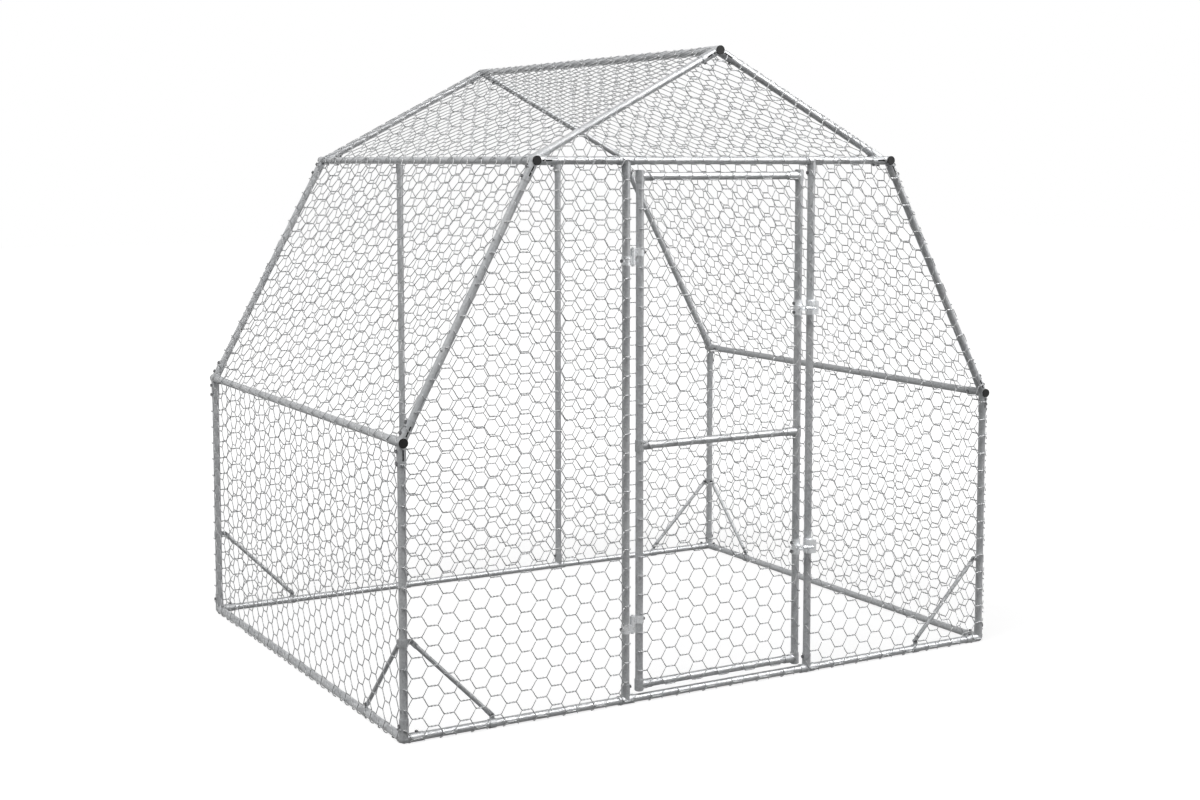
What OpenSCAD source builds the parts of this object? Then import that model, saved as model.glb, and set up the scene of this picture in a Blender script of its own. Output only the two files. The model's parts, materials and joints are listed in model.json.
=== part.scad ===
// Walk-in chicken run: galvanised tube frame with barn-shaped end walls, wire netting and a hinged door.
// Front wall faces -Y, width runs along X, the floor is at Z = 0, units are millimetres.

/* [Run] */
// Width between the corner post axes
run_w = 2235; // [1800:5:3000]
// Depth between the front and rear wall axes
run_d = 1750; // [1200:5:3000]
// Height of the eave rail axes
eave_h = 900; // [700:5:1100]
// Height of the shoulder rail axes
shoulder_h = 1720; // [1500:5:1900]
// Height of the ridge rail axis
ridge_h = 2070; // [1950:5:2400]
// Width between the shoulder rail axes
shoulder_w = 1350; // [1100:5:1500]

/* [Tube] */
// Outside diameter of every frame tube
tube_od = 25; // [22:0.5:28]
// Wall of every frame tube
tube_wall = 1.2; // [0.8:0.1:2]

/* [Fittings] */
// Wall of the sleeves and clamp bands
sleeve_wall = 2; // [1.5:0.1:3]
// Radial clearance of a tube in its sleeve
fit_gap = 0.15; // [0.1:0.05:0.3]
// Gap between a tube end and the tube that crosses it
seat_gap = 2; // [1:0.5:4]
// Length of a sleeve from the middle of its joint
sleeve_len = 70; // [60:1:90]
// Length of a base corner sleeve
corner_len = 60; // [50:1:80]
// Half length of a post tee along its rail
tee_half = 28; // [20:1:30]
// Length of a post tee along its post
tee_len = 50; // [42:1:60]
// Step from a through sleeve down to the sleeves that branch off it
arm_step = 0.2; // [0.1:0.05:0.4]
// Gap between a rafter's sleeve and the end wall rail beside it
rafter_gap = 0.4; // [0.3:0.1:10]
// Width of the slit in a sleeve
slit_w = 5; // [2:0.5:6]
// Length of the slit in a sleeve
slit_len = 34; // [15:1:36]
// Flange thickness of a tube end cap
cap_t = 4; // [2:0.5:5]
// Length of the plug behind a cap flange
cap_plug = 14; // [8:1:20]

/* [Bolts] */
// Shank diameter
bolt_d = 6; // [4:0.5:7]
// Head size across flats
bolt_af = 10; // [8:0.5:11]
// Head height
bolt_head_h = 4.5; // [3:0.5:5]
// Clearance of a shank in its hole, all round
bolt_gap = 0.2; // [0.1:0.05:0.4]

/* [Braces] */
// Distance from a corner to a brace's ends, along the post and the rail
brace_reach = 290; // [220:5:400]
// Diameter of a brace tube
brace_od = 14; // [12:0.5:16]
// Wall of a brace tube
brace_wall = 1.2; // [0.8:0.1:2]
// Width of a brace's flattened end
tab_w = 16; // [15:0.5:18]
// Thickness of a brace's flattened end and of a clamp's ear
tab_t = 3; // [2:0.5:4]
// Length of a flattened end from its bolt to the round tube
tab_len = 20; // [16:1:30]
// Height of a clamp band
band_h = 22; // [18:1:30]
// Gap between a band and the flattened end on its ear
ear_gap = 3; // [2:0.5:6]

/* [Door] */
// Width between the door post axes
doorway_w = 710; // [600:5:900]
// Clear gap between a door post tube and the door stile beside it
door_gap = 25; // [24:0.5:32]
// Height of the door's bottom rail above the base rail, axis to axis
door_foot = 42; // [38:1:60]
// Drop of the door's top rail below the front top rail, axis to axis
door_head = 49; // [45:1:70]
// Height of the door's middle rail axis
door_mid_h = 825; // [600:5:1000]
// Length of a stile past the rail at its end
stile_over = 20; // [18:0.5:22]
// Half length of a door tee along its stile
door_tee_half = 18; // [14:0.5:18]
// Length of a door tee along its rail
door_tee_len = 45; // [36:1:60]

/* [Hinges] */
// Height of the lower hinge's post clamp
hinge_low_h = 243; // [200:1:400]
// Drop of the upper hinge's post clamp below the front top rail
hinge_drop = 311; // [250:1:450]
// Diameter of the hinge pins
pin_d = 10; // [8:0.5:11]
// Wall round a hinge pin
eye_wall = 3.5; // [3:0.1:4.5]
// Running clearance of the eye round its pin
pin_gap = 0.05; // [0.02:0.01:0.1]
// Height of a hinge's post clamp
post_clamp_h = 28; // [24:1:36]
// Height of a hinge's gate clamp
gate_clamp_h = 24; // [20:1:30]
// Gap between an eye and the clamp it stands on
eye_lift = 0.3; // [0.2:0.1:1]
// Length of a pin past the eye and below its clamp
pin_over = 4; // [2:0.5:8]

/* [Latches] */
// Height of the lower latch
latch_low_h = 435; // [400:1:600]
// Height of the upper latch
latch_high_h = 1236; // [1000:1:1300]
// Height of a latch's clamps
latch_h = 50; // [46:1:60]
// Diameter of the sliding rod
rod_d = 10; // [8:0.5:11]
// Running clearance of the rod in its housing
rod_gap = 0.06; // [0.03:0.01:0.1]
// Clearance of the rod in its keeper
keeper_gap = 1.5; // [1:0.1:2]
// Wall of the housing and keeper round the rod
housing_wall = 3; // [2.5:0.1:4]
// Half length of the housing and keeper along the rod
housing_half = 13; // [12.5:0.5:14]
// Thickness of the closed end of the keeper
keeper_end = 10; // [8:0.5:11]
// Travel of the rod
rod_stroke = 16; // [10:0.5:17]
// Diameter of the rod's finger stud
stud_d = 5; // [4:0.5:6]
// Height of the finger stud above its housing
stud_h = 7; // [5:0.5:10]

/* [Netting] */
// Thickness of a net
net_t = 1; // [1:0.5:3]
// Gap between a net and the fittings it lies on
net_gap = 0.3; // [0.2:0.1:0.6]
// Distance from a tube axis to the edge of a net
net_lap = 1; // [0.5:0.5:4]
// Distance from a corner post's axis to the edge of a side net, clear of the bolts
net_edge = 8; // [7:0.5:10]
// Height of one mesh
mesh_h = 320; // [300:5:420]
// Width of one column of meshes
mesh_w = 272; // [256:1:350]
// Height of one mesh in the gables
gable_mesh_h = 125; // [115:5:200]
// Width of one column of meshes in the gables
gable_mesh_w = 103; // [95:1:170]
// Width of the strand between two meshes
strand = 6; // [5:1:12]

/* [Hidden] */
$fn = 48;

zinc = "#b9bdc0";
dark_zinc = "#8d9296";
wire_grey = "#cfd2d4";
black = "#1b1b1c";

sides = [-1, 1];
tube_id = tube_od - 2 * tube_wall;
bore_d = tube_od + 2 * fit_gap;
sleeve_od = bore_d + 2 * sleeve_wall;
sleeve_r = sleeve_od / 2;
arm_od = sleeve_od - 2 * arm_step;
seat = tube_od / 2 + seat_gap;
base_z = sleeve_r;
front_y = -run_d / 2;
rafter_setback = bore_d / 2 + arm_od / 2 + rafter_gap;
roof_rise = ridge_h - shoulder_h;
slope_lean = atan2((run_w - shoulder_w) / 2, shoulder_h - eave_h);
roof_lean = atan2(shoulder_w / 2, roof_rise);
slope_len = norm([(run_w - shoulder_w) / 2, shoulder_h - eave_h]);
roof_len = norm([shoulder_w / 2, roof_rise]);
gable_tilt = atan2(rafter_setback, roof_rise);
inner_sleeve = rafter_setback + sleeve_r + 2 * bolt_af;
bolt_near = seat + bolt_af;
bolt_far = sleeve_len - bolt_af;

post_x = doorway_w / 2;
stile_x = post_x - tube_od - door_gap;
pin_x = -(post_x + stile_x) / 2;
door_low = base_z + door_foot;
door_top = shoulder_h - door_head;
hinge_heights = [hinge_low_h, shoulder_h - hinge_drop];
latch_heights = [latch_low_h, latch_high_h];
knuckle_d = pin_d + 2 * eye_wall;
ear_reach = sleeve_r + ear_gap + tab_w / 2;

rod_y = -(sleeve_r + housing_wall + rod_d / 2);
housing_y = rod_y - rod_d / 2 - housing_wall;
housing_h = rod_d + 2 * housing_wall;
keeper_slot = rod_d + 2 * keeper_gap;
keeper_eye_x = post_x + housing_half - keeper_end;
rod_tip = keeper_eye_x - keeper_gap;
rod_tail = stile_x - housing_half - stud_d / 2;
stud_x = stile_x - rod_stroke / 2;
net_off = sleeve_r + net_gap;

// Joint points of the frame: sx is the side and sy the end, each -1 or 1
function base_point(sx, sy) = [sx * run_w / 2, sy * run_d / 2, base_z];
function eave_point(sx, sy) = [sx * run_w / 2, sy * run_d / 2, eave_h];
function shoulder_point(sx, sy) = [sx * shoulder_w / 2, sy * run_d / 2, shoulder_h];
function rafter_foot(sx, sy) = shoulder_point(sx, sy) - [0, sy * rafter_setback, 0];
function ridge_point(sy) = [0, sy * (run_d / 2 - rafter_setback), ridge_h];
function unit(v) = v / norm(v);
function slope_dir(sx) = [-sx * sin(slope_lean), 0, cos(slope_lean)];
function slope_out(sx) = [sx * cos(slope_lean), 0, sin(slope_lean)];
function roof_dir(sx) = [-sx * sin(roof_lean), 0, cos(roof_lean)];
function roof_out(sx) = [sx * cos(roof_lean), 0, sin(roof_lean)];

// Turns +Z to the direction d
module along(d) {
    rotate([0, acos(d[2] / norm(d)), atan2(d[1], d[0])])
        children();
}

// Tube between two points, cut short by one length at its start and another at its end
module tube(a, b, cut_a, cut_b) {
    length = norm(b - a) - cut_a - cut_b;
    color(zinc)
        translate(a + unit(b - a) * cut_a)
            along(b - a)
                difference() {
                    cylinder(d = tube_od, h = length);
                    translate([0, 0, -1])
                        cylinder(d = tube_id, h = length + 2);
                }
}

// Fitting of sleeves round tubes that meet: each arm is [start, direction, length]
// A rail that runs through is given in the same way, and without one the arms meet in a ball
// Each bolt is [point on a tube axis, direction of its head], and each slit [start, tube direction, face]
module fitting(rail, arms, bolts, slits = []) {
    difference() {
        union() {
            if (is_undef(rail))
                translate(arms[0][0])
                    sphere(d = sleeve_od);
            else
                translate(rail[0])
                    along(rail[1])
                        cylinder(d = sleeve_od, h = rail[2]);
            for (arm = arms)
                translate(arm[0])
                    along(arm[1])
                        cylinder(d = arm_od, h = arm[2]);
        }
        if (!is_undef(rail))
            translate(rail[0] - rail[1])
                along(rail[1])
                    cylinder(d = bore_d, h = rail[2] + 2);
        for (arm = arms)
            translate(arm[0] + arm[1] * seat)
                along(arm[1])
                    cylinder(d = bore_d, h = arm[2]);
        for (bolt = bolts)
            bolt_hole(bolt[0], bolt[1]);
        for (slit = slits)
            translate(slit[0] + slit[1] * (seat + slit_w + slit_len / 2) + slit[2] * sleeve_r)
                along(slit[1])
                    cube([slit_w, sleeve_r, slit_len], center = true);
    }
}

// Clearance hole through one wall of a sleeve
module bolt_hole(at, dir) {
    translate(at)
        along(dir)
            cylinder(d = bolt_d + 2 * bolt_gap, h = sleeve_od);
}

// Hexagon set bolt that bears on a tube through its sleeve
module set_bolt(at, dir) {
    tip = tube_od / 2 + fit_gap / 2;
    translate(at)
        along(dir) {
            translate([0, 0, tip])
                cylinder(d = bolt_d, h = sleeve_r - tip);
            translate([0, 0, sleeve_r])
                hex_head();
        }
}

module hex_head() {
    cylinder(d = bolt_af / cos(30), h = bolt_head_h, $fn = 6);
}

// Bolts of each kind of fitting
function corner_bolts(sx, sy) = let (p = base_point(sx, sy), s = corner_len - 2 * bolt_af) [
    [p + [-sx * s, 0, 0], [0, 0, 1]],
    [p + [0, -sy * s, 0], [0, 0, 1]],
    [p + [0, 0, s], [sx, 0, 0]]
];
function eave_bolts(sx, sy) = let (p = eave_point(sx, sy), near = bolt_near, far = bolt_far) [
    [p - [0, 0, near], [sx, 0, 0]],
    [p - [0, 0, far], [sx, 0, 0]],
    [p + near * slope_dir(sx), slope_out(sx)],
    [p + far * slope_dir(sx), slope_out(sx)],
    [p - [0, sy * far, 0], [-sx, 0, 0]]
];
function shoulder_bolts(sx, sy) = let (p = shoulder_point(sx, sy), near = bolt_near, far = bolt_far) [
    [p - near * slope_dir(sx), slope_out(sx)],
    [p - far * slope_dir(sx), slope_out(sx)],
    [p - [sx * far, 0, 0], [0, 0, -1]],
    [rafter_foot(sx, sy) + far * roof_dir(sx), -roof_out(sx)],
    [p - [0, sy * (inner_sleeve - bolt_af), 0], [0, 0, -1]]
];
function ridge_bolts(sy) = let (p = ridge_point(sy), far = bolt_far) [
    [p - far * roof_dir(-1), -roof_out(-1)],
    [p - far * roof_dir(1), -roof_out(1)],
    [p - [0, sy * far, 0], [0, 0, -1]]
];
function tee_bolts(sx, sy, z, up) = [
    [[sx * post_x, sy * run_d / 2, z + up * (tee_len - bolt_af)], [-sx, 0, 0]]
];
function door_tee_bolts(sx, z) = [
    [[sx * (stile_x - door_tee_len + bolt_af), front_y, z], [0, 1, 0]]
];
function hinge_bolt(z) = [[-post_x, front_y, z], [-1, 0, 0]];
function gate_bolt(z) = [[-stile_x, front_y, gate_z(z)], [1, 0, 0]];
function housing_bolts(z) = [
    for (s = sides) [[stile_x, front_y, z + s * (latch_h / 2 - bolt_af)], [-1, 0, 0]]
];
function keeper_bolt(z) = [[post_x, front_y, z], [1, 0, 0]];
function gate_z(z) = z + (post_clamp_h + gate_clamp_h) / 2 + eye_lift;

// Frame tubes
module base_rail_x(sy) {
    tube(base_point(-1, sy), base_point(1, sy), seat, seat);
}
module base_rail_y(sx) {
    tube(base_point(sx, -1), base_point(sx, 1), seat, seat);
}
module corner_post(sx, sy) {
    tube(base_point(sx, sy), eave_point(sx, sy), seat, seat);
}
module slope(sx, sy) {
    tube(eave_point(sx, sy), shoulder_point(sx, sy), seat, seat);
}
module rafter(sx, sy) {
    tube(rafter_foot(sx, sy), ridge_point(sy), seat, seat);
}
module top_rail(sy) {
    tube(shoulder_point(-1, sy), shoulder_point(1, sy), seat, seat);
}
module eave_rail(sx) {
    tube(eave_point(sx, -1), eave_point(sx, 1), -sleeve_r, -sleeve_r);
}
module shoulder_rail(sx) {
    tube(shoulder_point(sx, -1), shoulder_point(sx, 1), -sleeve_r, -sleeve_r);
}
module ridge_pole() {
    tube(ridge_point(-1), ridge_point(1), -sleeve_r, -sleeve_r);
}
module upright(sx, sy) {
    tube([sx * post_x, sy * run_d / 2, base_z], [sx * post_x, sy * run_d / 2, shoulder_h], seat, seat);
}
module rear_studs() {
    for (sx = sides)
        upright(sx, 1);
}

// Joint fittings
module base_corners() {
    color(dark_zinc)
        for (sx = sides, sy = sides)
            let (p = base_point(sx, sy))
                fitting(undef, [
                    [p, [-sx, 0, 0], corner_len],
                    [p, [0, -sy, 0], corner_len],
                    [p, [0, 0, 1], corner_len]
                ], corner_bolts(sx, sy));
}
module eave_joints() {
    color(dark_zinc)
        for (sx = sides, sy = sides)
            let (p = eave_point(sx, sy), face = [0, sy, 0])
                fitting([p + face * sleeve_r, -face, sleeve_r + sleeve_len], [
                    [p, [0, 0, -1], sleeve_len],
                    [p, slope_dir(sx), sleeve_len]
                ], eave_bolts(sx, sy), [[p, [0, 0, -1], face], [p, slope_dir(sx), face]]);
}
module shoulder_joints() {
    color(dark_zinc)
        for (sx = sides, sy = sides)
            let (p = shoulder_point(sx, sy), face = [0, sy, 0])
                fitting([p + face * sleeve_r, -face, sleeve_r + inner_sleeve], [
                    [p, -slope_dir(sx), sleeve_len],
                    [p, [-sx, 0, 0], sleeve_len],
                    [rafter_foot(sx, sy), roof_dir(sx), sleeve_len]
                ], shoulder_bolts(sx, sy), [[p, -slope_dir(sx), face], [p, [-sx, 0, 0], face]]);
}
module ridge_joints() {
    color(dark_zinc)
        for (sy = sides)
            let (p = ridge_point(sy), face = [0, sy, 0])
                fitting([p + face * sleeve_r, -face, sleeve_r + sleeve_len],
                    [for (sx = sides) [p, -roof_dir(sx), sleeve_len]],
                    ridge_bolts(sy), [for (sx = sides) [p, -roof_dir(sx), face]]);
}
module post_tee(sx, sy, z, up) {
    p = [sx * post_x, sy * run_d / 2, z];
    fitting([p - [tee_half, 0, 0], [1, 0, 0], 2 * tee_half], [[p, [0, 0, up], tee_len]],
        tee_bolts(sx, sy, z, up));
}
module post_tees() {
    color(dark_zinc)
        for (sx = sides, sy = sides) {
            post_tee(sx, sy, base_z, 1);
            post_tee(sx, sy, shoulder_h, -1);
        }
}
module end_cap(at, dir) {
    translate(at)
        along(dir) {
            cylinder(d = sleeve_od, h = cap_t);
            translate([0, 0, -cap_plug])
                cylinder(d = tube_id - 2 * fit_gap, h = cap_plug);
        }
}
module end_caps() {
    color(black)
        for (sy = sides) {
            for (sx = sides) {
                end_cap(eave_point(sx, sy) + [0, sy * sleeve_r, 0], [0, sy, 0]);
                end_cap(shoulder_point(sx, sy) + [0, sy * sleeve_r, 0], [0, sy, 0]);
            }
            end_cap(ridge_point(sy) + [0, sy * sleeve_r, 0], [0, sy, 0]);
        }
}

// Corner braces: each is [side, end, direction along its rail, inward normal of its wall]
braces = [
    [-1, -1, [1, 0, 0], [0, 1, 0]],
    [1, -1, [-1, 0, 0], [0, 1, 0]],
    [-1, 1, [1, 0, 0], [0, -1, 0]],
    [1, 1, [-1, 0, 0], [0, -1, 0]],
    [-1, -1, [0, 1, 0], [1, 0, 0]],
    [1, 1, [0, -1, 0], [-1, 0, 0]]
];
function brace_head(b) = base_point(b[0], b[1]) + [0, 0, brace_reach] + b[2] * ear_reach;
function brace_foot(b) = base_point(b[0], b[1]) + b[2] * brace_reach + [0, 0, ear_reach];

module brace(b) {
    length = norm(brace_foot(b) - brace_head(b));
    lead = tab_len + brace_od / 2;
    color(zinc)
        translate(brace_head(b) + b[3] * (tab_t + bolt_gap))
            along(brace_foot(b) - brace_head(b))
                difference() {
                    union() {
                        translate([0, 0, tab_len])
                            difference() {
                                cylinder(d = brace_od, h = length - 2 * tab_len);
                                translate([0, 0, -1])
                                    cylinder(d = brace_od - 2 * brace_wall, h = length);
                            }
                        for (end = [0, length])
                            translate([0, 0, end])
                                rotate([90, 0, 0])
                                    cylinder(d = tab_w, h = tab_t, center = true);
                        translate([-tab_w / 2, -tab_t / 2, 0])
                            cube([tab_w, tab_t, lead]);
                        translate([-tab_w / 2, -tab_t / 2, length - lead])
                            cube([tab_w, tab_t, lead]);
                    }
                    for (end = [0, length])
                        translate([0, 0, end])
                            rotate([90, 0, 0])
                                cylinder(d = bolt_d + 2 * bolt_gap, h = 2 * tab_t, center = true);
                }
}
module corner_braces() {
    for (b = braces)
        brace(b);
}

// Clamp band round a tube, with an ear for each [ear direction, wall normal]
module ear_band(at, tube_dir, ears) {
    difference() {
        union() {
            translate(at)
                along(tube_dir)
                    rotate(45)
                        cylinder(d = sleeve_od, h = band_h, center = true);
            for (ear = ears) {
                size = [for (i = [0:2]) abs(ear[0][i]) * ear_reach + abs(tube_dir[i]) * tab_w
                    + abs(ear[1][i]) * tab_t];
                translate(at + ear[0] * ear_reach / 2)
                    cube(size, center = true);
                translate(at + ear[0] * ear_reach)
                    along(ear[1])
                        rotate(45)
                            cylinder(d = tab_w, h = tab_t, center = true);
            }
        }
        translate(at)
            along(tube_dir)
                rotate(45)
                    cylinder(d = bore_d, h = 2 * band_h, center = true);
        for (ear = ears)
            translate(at + ear[0] * ear_reach)
                along(ear[1])
                    cylinder(d = bolt_d + 2 * bolt_gap, h = 2 * tab_t, center = true);
    }
}
module brace_clamps() {
    color(dark_zinc) {
        for (sx = sides, sy = sides)
            ear_band(base_point(sx, sy) + [0, 0, brace_reach], [0, 0, 1],
                [for (b = braces) if (b[0] == sx && b[1] == sy) [b[2], b[3]]]);
        for (b = braces)
            ear_band(base_point(b[0], b[1]) + b[2] * brace_reach, b[2], [[[0, 0, 1], b[3]]]);
    }
}

// Bolt and nut that hold a brace's flattened end against an ear
module brace_bolt(at, inward) {
    grip = 2 * tab_t + bolt_gap;
    translate(at - inward * tab_t / 2)
        along(inward) {
            cylinder(d = bolt_d, h = grip);
            translate([0, 0, -bolt_head_h])
                hex_head();
            translate([0, 0, grip])
                hex_head();
        }
}
module frame_bolts() {
    bolts = concat(
        [for (sx = sides, sy = sides) each corner_bolts(sx, sy)],
        [for (sx = sides, sy = sides) each eave_bolts(sx, sy)],
        [for (sx = sides, sy = sides) each shoulder_bolts(sx, sy)],
        [for (sy = sides) each ridge_bolts(sy)],
        [for (sx = sides, sy = sides) each tee_bolts(sx, sy, base_z, 1)],
        [for (sx = sides, sy = sides) each tee_bolts(sx, sy, shoulder_h, -1)],
        [for (z = hinge_heights) hinge_bolt(z)],
        [for (z = latch_heights) keeper_bolt(z)]
    );
    color(dark_zinc) {
        for (bolt = bolts)
            set_bolt(bolt[0], bolt[1]);
        for (b = braces) {
            brace_bolt(brace_head(b), b[3]);
            brace_bolt(brace_foot(b), b[3]);
        }
    }
}

// Netting: a convex outline in anticlockwise order, with hexagonal meshes inside a border strand
function edge_normal(a, b) = let (d = b - a) [-d[1], d[0]] / norm(d);
function inset(pts, by) = let (n = len(pts)) [
    for (i = [0:n - 1])
        let (p = pts[i], a = edge_normal(pts[(i + n - 1) % n], p), b = edge_normal(p, pts[(i + 1) % n]))
            p + by * (a + b) / (1 + a * b)
];
function depth_inside(p, pts) = let (n = len(pts))
    min([for (i = [0:n - 1]) edge_normal(pts[i], pts[(i + 1) % n]) * (p - pts[i])]);
function mesh_outline(w, h) = inset([
    [2 * w / 3, 0], [w / 3, h / 2], [-w / 3, h / 2], [-2 * w / 3, 0], [-w / 3, -h / 2], [w / 3, -h / 2]
], strand / 2);
function mesh_centres(pts, w, h) = let (
    lo = [min([for (p = pts) p[0]]), min([for (p = pts) p[1]])],
    hi = [max([for (p = pts) p[0]]), max([for (p = pts) p[1]])],
    mid = (lo + hi) / 2,
    columns = ceil((hi[0] - mid[0]) / w),
    rows = ceil((hi[1] - mid[1]) / h)
) [
    for (i = [-columns:columns], j = [-rows:rows])
        let (p = mid + [i * w, (j + abs(i % 2) / 2) * h])
            if (depth_inside(p, pts) > -0.42 * h) p
];
module net_sheet(pts, w = mesh_w, h = mesh_h) {
    inner = inset(pts, strand);
    color(wire_grey)
        difference() {
            linear_extrude(net_t)
                polygon(pts);
            intersection() {
                translate([0, 0, -1])
                    linear_extrude(net_t + 2)
                        polygon(inner);
                union() {
                    for (p = mesh_centres(inner, w, h))
                        translate([p[0], p[1], -2])
                            linear_extrude(net_t + 4)
                                polygon(mesh_outline(w, h));
                }
            }
        }
}

// Lays a net drawn in X and Z on the front wall
module front_sheet(pts) {
    translate([0, front_y - net_off, 0])
        rotate([90, 0, 0])
            net_sheet(inset(pts, net_lap));
}
module front_gable_net() {
    rise = norm([roof_rise, rafter_setback]);
    difference() {
        translate([0, front_y - net_off, shoulder_h])
            rotate([90 - gable_tilt, 0, 0])
                net_sheet(inset([[-shoulder_w / 2, 0], [shoulder_w / 2, 0], [0, rise]], net_lap),
                    gable_mesh_w, gable_mesh_h);
        for (sx = sides)
            cap_room(shoulder_point(sx, -1));
        cap_room(ridge_point(-1));
    }
}
// Room in a net for a cap on the end of a rail
module cap_room(at) {
    translate(at)
        rotate([90, 0, 0])
            cylinder(r = sleeve_r + net_gap + cap_t / 2, h = 4 * sleeve_od, center = true);
}
// Room in a net for the latch hardware round a tube
module latch_room(x) {
    for (z = latch_heights)
        translate([x, front_y - net_off, z])
            cube([4 * housing_half, 4 * net_t, latch_h], center = true);
}
module front_side_net(sx) {
    difference() {
        mirror([sx < 0 ? 0 : 1, 0, 0])
            front_sheet([
                [-run_w / 2, base_z], [-post_x, base_z], [-post_x, shoulder_h],
                [-shoulder_w / 2, shoulder_h], [-run_w / 2, eave_h]
            ]);
        cap_room(eave_point(sx, -1));
        cap_room(shoulder_point(sx, -1));
        if (sx > 0)
            latch_room(post_x);
    }
}
module rear_net() {
    mirror([0, 1, 0]) {
        difference() {
            front_sheet([
                [-run_w / 2, base_z], [run_w / 2, base_z], [run_w / 2, eave_h],
                [shoulder_w / 2, shoulder_h], [-shoulder_w / 2, shoulder_h], [-run_w / 2, eave_h]
            ]);
            for (sx = sides) {
                cap_room(eave_point(sx, -1));
                cap_room(shoulder_point(sx, -1));
            }
        }
        front_gable_net();
    }
}
module door_net() {
    difference() {
        front_sheet([
            [-stile_x, door_low], [stile_x, door_low], [stile_x, door_top], [-stile_x, door_top]
        ]);
        latch_room(stile_x);
    }
}

// Lays a net on a panel of the side sx that starts at a rail point and leans in by an angle
module side_sheet(sx, at_x, at_z, lean, half_d, height) {
    top = height - net_lap;
    mirror([sx < 0 ? 1 : 0, 0, 0])
        translate([at_x, 0, at_z])
            rotate([0, -lean, 0])
                translate([net_off, 0, 0])
                    rotate([90, 0, 90])
                        net_sheet([[-half_d, net_lap], [half_d, net_lap], [half_d, top], [-half_d, top]]);
}
module lower_net(sx) {
    side_sheet(sx, run_w / 2, base_z, 0, run_d / 2 - net_edge, eave_h - base_z);
}
module upper_net(sx) {
    side_sheet(sx, run_w / 2, eave_h, slope_lean, run_d / 2 - net_edge, slope_len);
}
module roof_net(sx) {
    side_sheet(sx, shoulder_w / 2, shoulder_h, roof_lean, run_d / 2 - rafter_setback - net_lap, roof_len);
}

// Door leaf
module stile(sx) {
    tube([sx * stile_x, front_y, door_low], [sx * stile_x, front_y, door_top], -stile_over, -stile_over);
}
module door_rail(z) {
    tube([-stile_x, front_y, z], [stile_x, front_y, z], seat, seat);
}
module door_tees() {
    color(dark_zinc)
        for (sx = sides, z = [door_low, door_mid_h, door_top])
            let (p = [sx * stile_x, front_y, z])
                fitting([p - [0, 0, door_tee_half], [0, 0, 1], 2 * door_tee_half],
                    [[p, [-sx, 0, 0], door_tee_len]], door_tee_bolts(sx, z));
}
module door_bolts() {
    color(dark_zinc) {
        for (sx = sides, z = [door_low, door_mid_h, door_top], bolt = door_tee_bolts(sx, z))
            set_bolt(bolt[0], bolt[1]);
        for (z = hinge_heights)
            set_bolt(gate_bolt(z)[0], gate_bolt(z)[1]);
    }
    color(black)
        for (z = latch_heights, bolt = housing_bolts(z))
            set_bolt(bolt[0], bolt[1]);
}

// Hinges: a band and knuckle round a tube, with the knuckle on the pin axis
module clamp_with_knuckle(tube_x, z, height) {
    translate([tube_x, front_y, z])
        cylinder(d = sleeve_od, h = height, center = true);
    translate([pin_x, front_y, z])
        cylinder(d = knuckle_d, h = height, center = true);
    translate([(tube_x + pin_x) / 2, front_y, z])
        cube([abs(tube_x - pin_x), knuckle_d - 2 * eye_wall, height], center = true);
}
module tube_room(x, z, height) {
    translate([x, front_y, z])
        cylinder(d = bore_d, h = 2 * height, center = true);
}
module hinge_post_clamps() {
    pin_len = post_clamp_h + eye_lift + gate_clamp_h + 2 * pin_over;
    color(dark_zinc)
        for (z = hinge_heights)
            difference() {
                union() {
                    clamp_with_knuckle(-post_x, z, post_clamp_h);
                    translate([pin_x, front_y, z - post_clamp_h / 2 - pin_over])
                        cylinder(d = pin_d, h = pin_len);
                }
                tube_room(-post_x, z, post_clamp_h);
                bolt_hole(hinge_bolt(z)[0], hinge_bolt(z)[1]);
            }
}
module hinge_gate_clamps() {
    color(dark_zinc)
        for (z = hinge_heights)
            difference() {
                clamp_with_knuckle(-stile_x, gate_z(z), gate_clamp_h);
                tube_room(-stile_x, gate_z(z), gate_clamp_h);
                translate([pin_x, front_y, gate_z(z)])
                    cylinder(d = pin_d + 2 * pin_gap, h = 2 * gate_clamp_h, center = true);
                bolt_hole(gate_bolt(z)[0], gate_bolt(z)[1]);
            }
}

// Latches: a rod slides in a housing on the door stile and shoots into a keeper on the latch post
module latch_block(x, z, height) {
    translate([x, front_y, z])
        cylinder(d = sleeve_od, h = latch_h, center = true);
    translate([x - housing_half, front_y + housing_y, z - height / 2])
        cube([2 * housing_half, -housing_y, height]);
}
module rod_room(x, length, z, d) {
    translate([x, front_y + rod_y, z])
        rotate([0, 90, 0])
            cylinder(d = d, h = length);
}
module latch_housings() {
    slot_h = stud_d + 2 * keeper_gap;
    color(zinc)
        for (z = latch_heights)
            difference() {
                latch_block(stile_x, z, housing_h);
                tube_room(stile_x, z, latch_h);
                rod_room(stile_x - 2 * housing_half, 4 * housing_half, z, rod_d + 2 * rod_gap);
                translate([stud_x - slot_h / 2, front_y + housing_y - 1, z - slot_h / 2])
                    cube([slot_h + rod_stroke, -housing_y + rod_y + 1, slot_h]);
                for (bolt = housing_bolts(z))
                    bolt_hole(bolt[0], bolt[1]);
            }
}
module latch_keepers() {
    slot_from = housing_y - 1;
    slot_to = rod_y + rod_d / 2 + keeper_gap;
    color(zinc)
        for (z = latch_heights)
            difference() {
                latch_block(post_x, z, latch_h - 2 * housing_wall);
                tube_room(post_x, z, latch_h);
                rod_room(post_x, 2 * housing_half, z, keeper_slot);
                translate([post_x - 2 * housing_half, front_y + slot_from, z - keeper_slot / 2])
                    cube([keeper_eye_x - post_x + 2 * housing_half, slot_to - slot_from, keeper_slot]);
                bolt_hole(keeper_bolt(z)[0], keeper_bolt(z)[1]);
            }
}
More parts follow.
